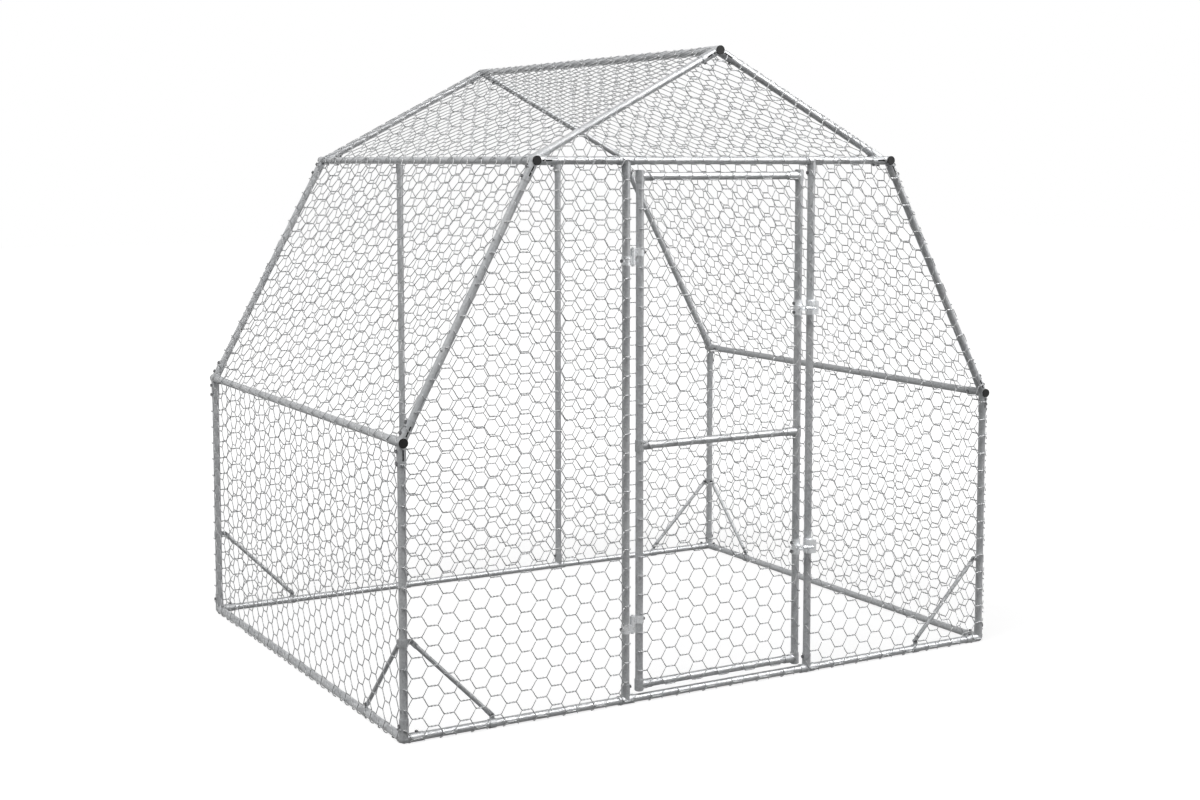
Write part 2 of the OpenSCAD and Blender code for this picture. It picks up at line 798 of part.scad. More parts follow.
module latch_rod(z) {
    color(zinc)
        union() {
            rod_room(rod_tail, rod_tip - rod_tail, z, rod_d);
            translate([stud_x, front_y + rod_y, z])
                rotate([90, 0, 0])
                    cylinder(d = stud_d, h = rod_d / 2 + housing_wall + stud_h);
        }
}

base_rail_x(-1);  // front_base_rail
base_rail_x(1);  // rear_base_rail
base_rail_y(-1);  // left_base_rail
base_rail_y(1);  // right_base_rail
corner_post(-1, -1);  // front_left_post
corner_post(1, -1);  // front_right_post
corner_post(-1, 1);  // rear_left_post
corner_post(1, 1);  // rear_right_post
slope(-1, -1);  // front_left_slope
slope(1, -1);  // front_right_slope
slope(-1, 1);  // rear_left_slope
slope(1, 1);  // rear_right_slope
rafter(-1, -1);  // front_left_rafter
rafter(1, -1);  // front_right_rafter
rafter(-1, 1);  // rear_left_rafter
rafter(1, 1);  // rear_right_rafter
top_rail(-1);  // front_top_rail
top_rail(1);  // rear_top_rail
eave_rail(-1);  // left_eave_rail
eave_rail(1);  // right_eave_rail
shoulder_rail(-1);  // left_shoulder_rail
shoulder_rail(1);  // right_shoulder_rail
ridge_pole();  // ridge_rail
upright(-1, -1);  // hinge_post
upright(1, -1);  // latch_post
rear_studs();
corner_braces();
base_corners();
eave_joints();
shoulder_joints();
ridge_joints();
post_tees();
brace_clamps();
end_caps();
frame_bolts();
front_side_net(-1);  // front_left_net
front_side_net(1);  // front_right_net
front_gable_net();
rear_net();
lower_net(-1);  // left_lower_net
lower_net(1);  // right_lower_net
upper_net(-1);  // left_upper_net
upper_net(1);  // right_upper_net
roof_net(-1);  // left_roof_net
roof_net(1);  // right_roof_net
stile(-1);  // door_hinge_stile
stile(1);  // door_latch_stile
door_rail(door_top);  // door_top_rail
door_rail(door_mid_h);  // door_mid_rail
door_rail(door_low);  // door_bottom_rail
door_tees();
door_net();
door_bolts();
hinge_post_clamps();
hinge_gate_clamps();
latch_housings();
latch_keepers();
latch_rod(latch_high_h);  // upper_latch_rod
latch_rod(latch_low_h);  // lower_latch_rod
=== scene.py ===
# %% [markdown]
# # A walk-in chicken run
# A run like this comes as a kit: thin galvanised tubes pushed into short cast sleeves, a hinged door, and
# rolls of hexagonal wire netting that are stretched over the outside and hooked round the tubes.
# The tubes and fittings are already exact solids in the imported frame, so this lesson keeps them and gives
# them their finish. The netting is the part that a solid model only stands in for, so it is woven here, wire
# by wire.

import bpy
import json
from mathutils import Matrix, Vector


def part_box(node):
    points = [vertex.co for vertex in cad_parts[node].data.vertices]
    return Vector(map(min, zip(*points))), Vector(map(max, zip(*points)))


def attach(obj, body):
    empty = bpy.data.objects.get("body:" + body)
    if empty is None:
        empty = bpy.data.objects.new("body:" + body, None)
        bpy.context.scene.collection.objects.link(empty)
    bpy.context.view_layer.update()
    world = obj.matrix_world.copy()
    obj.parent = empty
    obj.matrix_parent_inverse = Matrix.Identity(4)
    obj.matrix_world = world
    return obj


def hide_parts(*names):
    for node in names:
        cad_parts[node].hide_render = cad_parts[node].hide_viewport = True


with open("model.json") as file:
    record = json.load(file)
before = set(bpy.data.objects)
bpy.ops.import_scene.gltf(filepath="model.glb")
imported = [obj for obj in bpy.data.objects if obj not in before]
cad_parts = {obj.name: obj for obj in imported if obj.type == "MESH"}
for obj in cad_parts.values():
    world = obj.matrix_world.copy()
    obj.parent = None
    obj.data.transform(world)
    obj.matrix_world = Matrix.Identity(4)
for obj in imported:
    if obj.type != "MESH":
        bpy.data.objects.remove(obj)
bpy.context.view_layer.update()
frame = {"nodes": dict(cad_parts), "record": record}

import json
import math

import bpy
import numpy as np
from mathutils import Vector

# %% [markdown]
# ## Where the tubes run
# Every net hangs on the tubes round it, so the nets need the tubes' centre lines. They could be typed in
# again, but reading them from the solids' own boxes keeps the two in step if a size changes.

# %% Centre lines of the tubes
def middle(node):
    low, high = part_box(node)
    return (low + high) / 2


half_width = middle("front_right_post").x
front_y, rear_y = middle("front_base_rail").y, middle("rear_base_rail").y
base_z = middle("front_base_rail").z
eave_z = middle("left_eave_rail").z
shoulder_x, shoulder_z = middle("right_shoulder_rail").x, middle("right_shoulder_rail").z
ridge_z = middle("ridge_rail").z
rafter_y = abs(middle("front_left_rafter").y)
post_x = middle("latch_post").x
stile_x = middle("door_latch_stile").x
door_low, door_top = middle("door_bottom_rail").z, middle("door_top_rail").z
tube_r = (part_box("hinge_post")[1].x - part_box("hinge_post")[0].x) / 2
print("posts at", round(half_width, 4), "ridge at", round(ridge_z, 4), "tube radius", round(tube_r, 4))

# %% [markdown]
# ## Hot-dip zinc
# Galvanised steel comes out of the bath with a skin of zinc crystals, the spangle: patches a few
# millimetres wide, some a little brighter than others. On top of it the sheen varies slowly where the zinc
# has dulled. A cell texture makes the patches and a soft noise the dulling; both follow the piece, so they
# stay put when the door moves.

# %% Node helpers
def new_material(name):
    material = bpy.data.materials.new(name)
    material.use_nodes = True
    tree = material.node_tree
    shader = tree.nodes["Principled BSDF"]
    place = tree.nodes.new("ShaderNodeTexCoord")
    return material, tree, shader, place.outputs["Object"]


def noise(tree, place, scale, detail=3.0):
    node = tree.nodes.new("ShaderNodeTexNoise")
    node.inputs["Scale"].default_value = scale
    node.inputs["Detail"].default_value = detail
    tree.links.new(place, node.inputs["Vector"])
    return node.outputs["Fac"]


def ramp(tree, value, stops):
    node = tree.nodes.new("ShaderNodeValToRGB")
    first, last = node.color_ramp.elements
    first.position, first.color = stops[0][0], (*stops[0][1], 1)
    last.position, last.color = stops[-1][0], (*stops[-1][1], 1)
    for position, colour in stops[1:-1]:
        node.color_ramp.elements.new(position).color = (*colour, 1)
    tree.links.new(value, node.inputs["Fac"])
    return node.outputs["Color"]


def spread(tree, value, low, high):
    node = tree.nodes.new("ShaderNodeMapRange")
    node.inputs["To Min"].default_value = low
    node.inputs["To Max"].default_value = high
    tree.links.new(value, node.inputs["Value"])
    return node.outputs["Result"]


def dents(tree, shader, value, strength, distance):
    node = tree.nodes.new("ShaderNodeBump")
    node.inputs["Strength"].default_value = strength
    node.inputs["Distance"].default_value = distance
    tree.links.new(value, node.inputs["Height"])
    tree.links.new(node.outputs["Normal"], shader.inputs["Normal"])


# %% [markdown]
# The pieces of the run differ in their zinc. The tube is the palest and smoothest of the dipped pieces, and
# the cast sleeves are duller. The netting's wire has a finer grain, the bolts are dark, and the hinges and
# latches are plated and so the brightest. One function with the two greys, the patches to a metre, the range
# of roughness and the share of mirror shine makes them all. That share is small except on bolts and plating:
# a fuller mirror would show little but the white surround, and the tubes would lose their round form. The
# caps on the rail ends are black plastic with a fine grain.

# %% Zinc and plastic
def zinc(name, dark, pale, patches, rough, metallic):
    material, tree, shader, place = new_material(name)
    cells = tree.nodes.new("ShaderNodeTexVoronoi")
    cells.inputs["Scale"].default_value = patches
    tree.links.new(place, cells.inputs["Vector"])
    spangle = ramp(tree, cells.outputs["Color"], [(0.1, dark), (0.9, pale)])
    dull = ramp(tree, noise(tree, place, 5.0, 5.0), [(0.3, (0.82, 0.83, 0.84)), (0.7, (1, 1, 1))])
    mix = tree.nodes.new("ShaderNodeMix")
    mix.data_type, mix.blend_type = "RGBA", "MULTIPLY"
    mix.inputs["Factor"].default_value = 1.0
    tree.links.new(spangle, mix.inputs["A"])
    tree.links.new(dull, mix.inputs["B"])
    tree.links.new(mix.outputs["Result"], shader.inputs["Base Color"])
    tree.links.new(spread(tree, noise(tree, place, 60.0), *rough), shader.inputs["Roughness"])
    shader.inputs["Metallic"].default_value = metallic
    shader.inputs["Specular IOR Level"].default_value = 0.35
    dents(tree, shader, noise(tree, place, 240.0), 0.12, 0.0004)
    return material


def plastic(name, dark, pale):
    material, tree, shader, place = new_material(name)
    grain = noise(tree, place, 90.0, 4.0)
    tree.links.new(ramp(tree, grain, [(0.3, dark), (0.7, pale)]), shader.inputs["Base Color"])
    tree.links.new(spread(tree, grain, 0.5, 0.75), shader.inputs["Roughness"])
    shader.inputs["Specular IOR Level"].default_value = 0.1
    dents(tree, shader, noise(tree, place, 700.0), 0.15, 0.0002)
    return material


finish = {
    "tube": zinc("zinc tube", (0.66, 0.67, 0.68), (0.82, 0.83, 0.84), 170.0, (0.26, 0.40), 0.05),
    "fitting": zinc("zinc fitting", (0.58, 0.59, 0.60), (0.74, 0.75, 0.76), 240.0, (0.34, 0.5), 0.05),
    "wire": zinc("zinc wire", (0.61, 0.615, 0.62), (0.75, 0.755, 0.76), 400.0, (0.28, 0.42), 0.05),
    "bolt": zinc("zinc bolt", (0.12, 0.12, 0.125), (0.22, 0.22, 0.225), 500.0, (0.15, 0.3), 0.45),
    "latch": zinc("bright zinc", (0.80, 0.81, 0.82), (0.90, 0.91, 0.92), 300.0, (0.22, 0.34), 0.3),
    "cap": plastic("black plastic", (0.006, 0.006, 0.006), (0.012, 0.012, 0.012)),
}
print("finishes:", sorted(finish))

# %% [markdown]
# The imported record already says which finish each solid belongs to, so the materials are handed out from it.
# Only the fittings of the hinges and latches are picked out by name, because they get the bright zinc.

# %% Hand out the finishes
def dress(obj, material):
    obj.data.materials.clear()
    obj.data.materials.append(material)


plated_names = ("latch_", "hinge_", "upper_latch", "lower_latch")
plated = []
for entry in frame["record"]["subparts"]:
    node, slot = entry["node"], entry["material_slot"]
    if slot == "fitting" and node.startswith(plated_names):
        slot = "latch"
        plated.append(node)
    dress(frame["nodes"][node], finish[slot])
print("bright zinc on:", plated)

# %% [markdown]
# ## Slits in the sleeves
# The sleeves at the eaves, shoulders and ridge are slit on their outer face, so that a bolt can squeeze them
# onto the tube. The solid sleeves have these slits, but the zinc of the tube inside them is as bright as the
# sleeve, where the real slit is a dark line of shade. Painted shade on the tube would follow the tube past the
# sleeve, so a thin black strip of painted shade lies in each slit instead, just clear of the tube.

# %% Strips of painted shade in the slits
slit_start, slit_length, slit_width = 0.0195, 0.034, 0.005
shade_strip_lift, half_shade_strip, wall_gap = 0.0006, 0.0004, 0.0002


def shade_strip(joint, ahead, face):
    """Corners and faces of a flat bar of painted shade in the slit that starts at a joint and runs ahead along
    a tube.
    """
    centre = joint + ahead * (slit_start + slit_length / 2) + face * (tube_r + shade_strip_lift)
    lengthwise = ahead * (slit_length / 2 - wall_gap)
    across = np.cross(face, ahead) * (slit_width / 2 - wall_gap)
    reach = [lengthwise, across, face * half_shade_strip]
    signs = [(a, b, c) for a in (-1, 1) for b in (-1, 1) for c in (-1, 1)]
    corners = [centre + sum(s * r for s, r in zip(sign, reach)) for sign in signs]
    return corners, [(0, 1, 3, 2), (4, 6, 7, 5), (0, 4, 5, 1), (2, 3, 7, 6), (0, 2, 6, 4), (1, 5, 7, 3)]


def unit(*way):
    return np.array(way) / np.linalg.norm(way)


def slit_places():
    """The joint, the way along the tube and the end wall (-1 front, 1 rear) of every slit."""
    for end, wall_y in ((-1, front_y), (1, rear_y)):
        for side in (-1, 1):
            lean = unit(side * (shoulder_x - half_width), 0, shoulder_z - eave_z)
            pitch = unit(-side * shoulder_x, 0, ridge_z - shoulder_z)
            eave_joint = (side * half_width, wall_y, eave_z)
            shoulder_joint = (side * shoulder_x, wall_y, shoulder_z)
            yield eave_joint, (0, 0, -1), end
            yield eave_joint, lean, end
            yield shoulder_joint, -lean, end
            yield shoulder_joint, (-side, 0, 0), end
            yield (0, end * rafter_y, ridge_z), -pitch, end


corners, faces = [], []
for joint, ahead, end in slit_places():
    points, quads = shade_strip(np.array(joint), np.array(ahead, float), np.array([0.0, end, 0.0]))
    faces += [[len(corners) + k for k in quad] for quad in quads]
    corners += points
mesh = bpy.data.meshes.new("slit_shade_strips")
mesh.from_pydata([tuple(point) for point in corners], [], faces)
shade_strips = bpy.data.objects.new("slit_shade_strips", mesh)
bpy.context.scene.collection.objects.link(shade_strips)
# The strips get the black plastic: painted shade standing for the dark gap of each slit.
dress(shade_strips, finish["cap"])
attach(shade_strips, "frame")
print("slit linings:", len(faces) // 6)

# %% [markdown]
# ## Hexagonal netting
# The netting machine twists neighbouring wires together for a short length, lets them part, and twists each
# with its other neighbour. Here the roll runs sideways, so the twists lie level: one every 61 mm up a
# column, columns 52 mm apart, and every other column raised by half a step. Slanted wires join the twist
# ends. So one cell is three pieces of wire work: a twisted pair, and two slanted wires that leave its
# right-hand end. Drawing a photo of a mesh on a sheet would be lighter, but it would have no wire to catch
# the light, and nothing to bend round a tube.

# %% Sizes of the netting
row_step, column_step = 0.061, 0.052
twist_length = 0.0345
wire_r = 0.0016
pair_r, pair_depth = 0.85 * wire_r, 0.25 * wire_r
print("one cell:", row_step, "by", 2 * column_step, "m, wire", 2 * wire_r, "m thick")

# %% [markdown]
# A machine-made lattice would be perfectly even, but a net stretched by hand never is. So each twist is
# pushed off its place by a little chance. The chance is seeded, so that every run gives the same net.

# %% The lattice of twists
rng = np.random.default_rng(7)
unevenness = 0.0007


def lattice(low, high, start):
    """Centres of the twists over a rectangle, as two grids; start is the place of one twist."""
    first = math.floor((low[0] - start[0]) / column_step) - 1
    count = math.ceil((high[0] - low[0]) / column_step) + 4
    first -= first % 2
    bottom = math.floor((low[1] - start[1]) / row_step) - 1
    rows = math.ceil((high[1] - low[1]) / row_step) + 4
    i, j = np.meshgrid(np.arange(count), np.arange(rows), indexing="ij")
    u = start[0] + (first + i) * column_step
    v = start[1] + (bottom + j + 0.5 * (i % 2)) * row_step
    return u + rng.normal(0, unevenness, u.shape), v + rng.normal(0, unevenness, v.shape)


# %% [markdown]
# A wire of a twist is a flattened helix of one and a half turns, so each wire arrives on the other side of
# its partner. A slanted wire is a little flatter at both ends than in its middle, which is the soft S-bend
# that the machine leaves.

# %% Paths of the wires
twist_turn = 3 * math.pi
bend_share = 0.28


def twist_path(ends, t):
    u, v, turn = (ends[:, k, None] for k in range(3))
    angle = twist_turn * t + turn
    return np.stack(
        [
            u + (t - 0.5) * twist_length,
            v + pair_r * np.cos(angle),
            pair_depth * np.sin(angle),
        ],
        -1,
    )


def slant_path(ends, t):
    u0, v0, u1, v1 = (ends[:, k, None] for k in range(4))
    ease = t * t * (3 - 2 * t)
    rise = (1 - bend_share) * t + bend_share * ease
    along = u0 + (u1 - u0) * t
    return np.stack([along, v0 + (v1 - v0) * rise, 0 * along], -1)


def wires(low, high, start):
    """The twisted wires and the slanted wires over a rectangle."""
    u, v = lattice(low, high, start)
    flat_u, flat_v = u.ravel(), v.ravel()
    twists = np.concatenate(
        [np.stack([flat_u, flat_v, np.full(flat_u.shape, turn)], 1) for turn in (0, math.pi)]
    )
    slants = []
    for i in range(u.shape[0] - 1):
        for j in range(1, u.shape[1] - 1):
            raised = i % 2
            for side, other in ((1, j + raised), (-1, j + raised - 1)):
                slants.append(
                    [
                        u[i, j] + twist_length / 2,
                        v[i, j] + side * pair_r,
                        u[i + 1, other] - twist_length / 2,
                        v[i + 1, other] - side * pair_r,
                    ]
                )
    return twists, np.array(slants)


# %% [markdown]
# ## Hanging a net on its tubes
# Each net is stretched flat just clear of the sleeves, and where it reaches a tube it is bent round it and
# cut off. So a panel here is a many-sided outline along the tubes' centre lines. A point that lies past an
# edge is rolled round that edge's tube instead of going straight on. The farther round it goes, the more it
# is pulled in, until a long hook all but touches the tube, or beds into a sleeve that covers it. On a clamp
# there is less room, so the wire ends sooner there and isn't pulled in. A cloth simulation could drape the
# net, but rolling each point by a formula gives the same net on every run.

# %% A panel and how it rolls round its tubes
stand_off = 0.01662
hug_r = tube_r + 1.3 * wire_r
clamp_hook = 0.006
corner_overlap = 0.002
pull_angle = 0.6


class Panel:
    """
    A flat net with its edges on tubes.

    Each edge is given as the corner where it starts, on the tubes' centre lines, how far the net hooks past
    the centre line, and the stretches of the edge that clamps cover, counted from its start or, if negative,
    from its end. The corners run anticlockwise seen from outside. holes are boxes to cut out, and slack is
    the angle at which the net starts to close on a tube.
    """

    def __init__(self, origin, along, up, edges, holes=(), slack=0.5):
        self.origin, self.u, self.v = (np.array(x, float) for x in (origin, along, up))
        self.normal = np.cross(self.u, self.v)
        corners, self.hooks, self.clamps = zip(*edges)
        self.corners = np.array(corners, float)
        ends = np.roll(self.corners, -1, 0)
        self.lengths = np.linalg.norm(ends - self.corners, axis=1)
        self.along = (ends - self.corners) / self.lengths[:, None]
        self.inward = np.stack([-self.along[:, 1], self.along[:, 0]], 1)
        self.holes, self.slack = holes, slack

    def past(self, flat):
        """How far each point lies past each edge, and how far along that edge it is."""
        offset = flat[..., None, :] - self.corners
        past = -(offset * self.inward).sum(-1)
        along = (offset * self.along).sum(-1)
        return past, along

    def on_clamp(self, along, edge):
        """Which points, given how far along an edge they are, lie on a clamp."""
        length = self.lengths[edge]
        covered = np.zeros(along.shape, bool)
        for low, high in self.clamps[edge]:
            shift = length if low < 0 else 0
            covered |= (along > low + shift) & (along < high + shift)
        return covered

    def allowed(self, flat):
        """Which points of the flat lattice may be kept."""
        past, along = self.past(flat)
        fine = np.ones(flat.shape[:-1], bool)
        for edge, hook in enumerate(self.hooks):
            limit = np.where(self.on_clamp(along[..., edge], edge), min(hook, clamp_hook), hook)
            fine &= past[..., edge] <= limit
        fine &= (past > corner_overlap).sum(-1) <= 1
        for low, high in self.holes:
            inside = (flat > np.array(low)) & (flat < np.array(high))
            fine &= ~inside.all(-1)
        return fine

    def place(self, path):
        """Points of the netting in space, and the way out of the panel at each."""
        flat, lift = path[..., :2], path[..., 2]
        past, along = self.past(flat)
        edge = past.argmax(-1)
        beyond = np.take_along_axis(past, edge[..., None], -1)[..., 0]
        over = np.maximum(beyond, 0)
        where = np.take_along_axis(along, edge[..., None], -1)[..., 0]
        tight = np.ones(over.shape)
        for k in range(len(self.hooks)):
            tight = np.where((edge == k) & self.on_clamp(where, k), 0, tight)
        angle = over / stand_off
        pull = np.clip((beyond / stand_off - self.slack) / pull_angle, 0, 1)
        radius = stand_off - tight * (stand_off - hug_r) * pull * pull * (3 - 2 * pull)
        foot = flat + self.inward[edge] * over[..., None]
        outward = -(self.inward[edge][..., 0:1] * self.u + self.inward[edge][..., 1:2] * self.v)
        way = np.cos(angle)[..., None] * self.normal + np.sin(angle)[..., None] * outward
        on_plane = self.origin + foot[..., 0:1] * self.u + foot[..., 1:2] * self.v
        return on_plane + (radius + lift)[..., None] * way, way


# %% [markdown]
# The lattice covers the whole rectangle round a panel. Each wire is then trimmed to the first stretch that
# the panel allows, so that nothing hangs past a tube, through a cap or into the latches. Cutting the finished
# wires with a solid would be the other way, but testing a few points along each wire is far quicker.

# %% Trim the wires
samples = 13
least_run = 3


def trimmed(panel, path, ends):
    """The wires that are kept, and where each starts and stops as a share of its length."""
    t = np.linspace(0, 1, samples)[None, :]
    fine = panel.allowed(path(ends, t)[..., :2])
    first = np.where(fine.any(1), fine.argmax(1), 0)
    rest = np.where(np.arange(samples) < first[:, None], True, fine)
    stop = np.where(rest.all(1), samples, (~rest).argmax(1)) - 1
    keep = fine.any(1) & (stop - first >= least_run)
    return ends[keep], first[keep] / (samples - 1), stop[keep] / (samples - 1)


# %% [markdown]
# A wire is a row of points with a square ring of four corners round each, closed at both ends. Shaded smooth,
# the ring looks round at this thickness. A curve with a round bevel would do the same, but thousands of
# them are slow, so all the rings of a panel are worked out at once as arrays.

# %% Thicken the wires
def thicken(points, way):
    """Closed four-sided wires along rows of points, as corners and four-cornered faces."""
    ahead = np.gradient(points, axis=1)
    ahead /= np.linalg.norm(ahead, axis=-1, keepdims=True)
    side = np.cross(ahead, way)
    side /= np.linalg.norm(side, axis=-1, keepdims=True)
    rise = np.cross(side, ahead)
    corners = [points + wire_r * (a * rise + b * side) for a, b in ((1, 0), (0, 1), (-1, 0), (0, -1))]
    rings = np.stack(corners, 2)
    wire_count, steps = points.shape[:2]
    index = np.arange(wire_count * steps * 4).reshape(wire_count, steps, 4)
    turned = np.roll(index, -1, 2)
    walls = np.stack([index[:, :-1], turned[:, :-1], turned[:, 1:], index[:, 1:]], -1).reshape(-1, 4)
    return rings.reshape(-1, 3), np.concatenate([walls, index[:, 0, ::-1], index[:, -1]])


# %% [markdown]
# A wire in the middle of a panel needs only a few points: seven for a twist and four for a slant. One that
# bends round a tube gets nine, so that the bend is smooth. The flat place of every point is kept as well, for
# the net's unwrapping.

# %% Weave one panel
twist_points, slant_points, bend_points = 7, 4, 9
edge_band = 0.004
margin = 0.04


def weave(panel, start):
    """Corners, faces and flat places of all the wires of a panel."""
    low, high = panel.corners.min(0) - margin, panel.corners.max(0) + margin
    twists, slants = wires(low, high, start)
    verts, faces, flats, total = [], [], [], 0
    for path, ends, plain_points in ((twist_path, twists, twist_points), (slant_path, slants, slant_points)):
        ends, first, stop = trimmed(panel, path, ends)
        past, _ = panel.past(path(ends, np.array([[0, 0.5, 1]]))[..., :2])
        at_edge = (past > -edge_band).any((1, 2))
        for chosen, steps in ((~at_edge, plain_points), (at_edge, bend_points)):
            if not chosen.any():
                continue
            t = first[chosen, None] + (stop - first)[chosen, None] * np.linspace(0, 1, steps)
            route = path(ends[chosen], t)
            points, way = panel.place(route)
            corners, quads = thicken(points, way)
            verts.append(corners)
            faces.append(quads + total)
            flats.append(np.repeat(route[..., :2].reshape(-1, 2), 4, 0))
            total += len(corners)
    return np.concatenate(verts), np.concatenate(faces), np.concatenate(flats)


# %% [markdown]
# The woven wires become one mesh per roll of netting. It stands in for the plain sheet with holes that the
# solid model uses there, and it moves with the same body. The mesh is filled straight from the arrays, which
# is much quicker than handing Blender one face at a time.

# %% One mesh per net
def net(name, body, node, panels):
    """One piece of netting from (panel, start) pairs, on a body, in place of a solid node."""
    parts = [weave(panel, start) for panel, start in panels]
    sizes = np.cumsum([0] + [len(p[0]) for p in parts])
    verts = np.concatenate([p[0] for p in parts])
    faces = np.concatenate([p[1] + s for p, s in zip(parts, sizes)])
    flats = np.concatenate([p[2] for p in parts])
    mesh = bpy.data.meshes.new(name)
    mesh.vertices.add(len(verts))
    mesh.vertices.foreach_set("co", verts.ravel())
    mesh.loops.add(faces.size)
    mesh.loops.foreach_set("vertex_index", faces.ravel())
    mesh.polygons.add(len(faces))
    mesh.polygons.foreach_set("loop_start", np.arange(0, faces.size, 4))
    mesh.update(calc_edges=True)
    mesh.polygons.foreach_set("use_smooth", np.ones(len(faces), bool))
    unwrap = mesh.uv_layers.new(name="OFBake")
    spread_uv = (flats - flats.min(0)) / np.ptp(flats, axis=0).max()
    unwrap.data.foreach_set("uv", spread_uv[faces.ravel()].ravel())
    obj = bpy.data.objects.new(name, mesh)
    bpy.context.scene.collection.objects.link(obj)
    dress(obj, finish["wire"])
    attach(obj, body)
    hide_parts(node)
    print(name, "faces:", len(faces))
    return obj


# %% [markdown]
# ## Where the fittings sit
# A net has to know where it meets a brace clamp, a hinge, a latch, a tee or a cap, because it ends sooner
# there or is cut out. Each is a stretch along a tube or a small box in the plane of the net. Testing against
# the solids themselves would need no such list, but it is slow and gives ragged edges.

# %% Brace clamps and caps
base_clamp, base_clamp_back = (0.27, 0.31), (-0.31, -0.27)
post_clamp, post_clamp_back = (0.27, 0.33), (-0.33, -0.27)
post_clamp_from_eave = (0.57, 0.63)
cap_r = 0.018


def round_cap(x, z):
    return (x - cap_r, z - cap_r), (x + cap_r, z + cap_r)


caps = [round_cap(s * half_width, eave_z) for s in (-1, 1)]
caps += [round_cap(s * shoulder_x, shoulder_z) for s in (-1, 1)]
print("caps through each end wall:", len(caps))

# %% Hinges, tees and latches round the doorway
hinge_clamps = [(0.21, 0.27), (1.37, 1.44)]
half_tee = 0.03
door_rail_z = [door_low, middle("door_mid_rail").z, door_top]
tee_room = [(z - base_z - half_tee, z - base_z + half_tee) for z in door_rail_z]
half_latch_width, half_latch_height = 0.024, 0.03
latch_z = [middle("lower_latch_rod").z, middle("upper_latch_rod").z]
latches = [
    ((x - half_latch_width, z - half_latch_height), (x + half_latch_width, z + half_latch_height))
    for x in (post_x, stile_x)
    for z in latch_z
]
print("latches at heights", [round(z, 3) for z in latch_z])

# %% [markdown]
# ## The front wall
# Two side pieces flank the door. Their outer edges follow the corner post and the slope, and their inner
# edge the door post. The netting is cut away where the rail ends come through with their caps and where the
# latch keepers sit on the latch post. A low strip on the base rail, below the door, belongs to the right-hand
# piece. Each edge has its own hook: about a sixth of a turn round the base rail and the door posts, and less
# where a neighbouring net shares the tube.

# %% Net to the left of the door
front_plane = (0, front_y, 0), (1, 0, 0), (0, 0, 1)
front_start = (-0.4567, 0.0138)
base_hook, door_post_hook, wall_hook, top_hook = 0.0185, 0.018, 0.012, 0.010
left_front = Panel(
    *front_plane,
    [
        ((-half_width, base_z), base_hook, [base_clamp]),
        ((-post_x, base_z), door_post_hook, hinge_clamps + tee_room),
        ((-post_x, shoulder_z), top_hook, []),
        ((-shoulder_x, shoulder_z), wall_hook, []),
        ((-half_width, eave_z), wall_hook, [post_clamp_from_eave]),
    ],
    caps,
)
net("front_left_netting", "frame", "front_left_net", [(left_front, front_start)])

# %% Net to the right of the door, with the strip below the door
strip_gap = 0.026
strip_top = door_low - strip_gap
right_front = Panel(
    *front_plane,
    [
        ((post_x, base_z), base_hook, [base_clamp_back]),
        ((half_width, base_z), wall_hook, [post_clamp]),
        ((half_width, eave_z), wall_hook, []),
        ((shoulder_x, shoulder_z), top_hook, []),
        ((post_x, shoulder_z), door_post_hook, []),
    ],
    caps + latches,
)
below_door = Panel(
    *front_plane,
    [
        ((-post_x, base_z), base_hook, []),
        ((post_x, base_z), 0.0, []),
        ((post_x, strip_top), 0.0, []),
        ((-post_x, strip_top), 0.0, []),
    ],
)
right_panels = [(right_front, front_start), (below_door, front_start)]
net("front_right_netting", "frame", "front_right_net", right_panels)

# %% [markdown]
# ## The gables
# The gable piece leans back a little, from the top rail to the rafters, which stand a little farther in. It
# could be cut from the same sheet as the wall below it, but the lean would then put a kink in every wire, so
# it is a triangle of its own. The rear wall is one wide piece with such a triangle above it.

# %% Gables
setback = abs(front_y) - rafter_y
gable_height = math.hypot(ridge_z - shoulder_z, setback)
gable_foot_hook, gable_slope_hook = 0.008, 0.003
gable_start = (0.0, 0.012)


def gable(end):
    """The gable triangle of the front (-1) or rear (+1) wall."""
    up = (0, -end * setback / gable_height, (ridge_z - shoulder_z) / gable_height)
    wall_y = front_y if end < 0 else rear_y
    return Panel(
        (0, wall_y, shoulder_z), (-end, 0, 0), up,
        [
            ((-shoulder_x, 0), gable_foot_hook, []),
            ((shoulder_x, 0), gable_slope_hook, []),
            ((0, gable_height), gable_slope_hook, []),
        ],
        [round_cap(-shoulder_x, 0), round_cap(shoulder_x, 0), round_cap(0, gable_height)],
    )


net("front_gable_netting", "frame", "front_gable_net", [(gable(-1), gable_start)])

# %% Rear wall with its gable
half_stud_tee = 0.04
stud_places = (half_width - post_x, half_width + post_x)
stud_tees = [(place - half_stud_tee, place + half_stud_tee) for place in stud_places]
rear_start = (0.0, 0.0138)
rear_wall = Panel(
    (0, rear_y, 0), (-1, 0, 0), (0, 0, 1),
    [
        ((-half_width, base_z), base_hook, [base_clamp, base_clamp_back] + stud_tees),
        ((half_width, base_z), wall_hook, [post_clamp]),
        ((half_width, eave_z), wall_hook, []),
        ((shoulder_x, shoulder_z), top_hook, []),
        ((-shoulder_x, shoulder_z), wall_hook, []),
        ((-half_width, eave_z), wall_hook, [post_clamp_back]),
    ],
    caps,
)
net("rear_netting", "frame", "rear_net", [(rear_wall, rear_start), (gable(1), gable_start)])

# %% [markdown]
# ## Sides and roof
# Each side is covered by three strips of netting: the upright lower wall, the slope above it, and the roof
# from the shoulder to the ridge. All three are plain rectangles, hooked round the rails they end on, so one
# function makes them from the two rails, the hooks and the clamps. Two nets that meet on a rail share it, so
# each has only a short hook there. The roof lies close on its rafters: it starts to close on them before it
# reaches their centre lines.

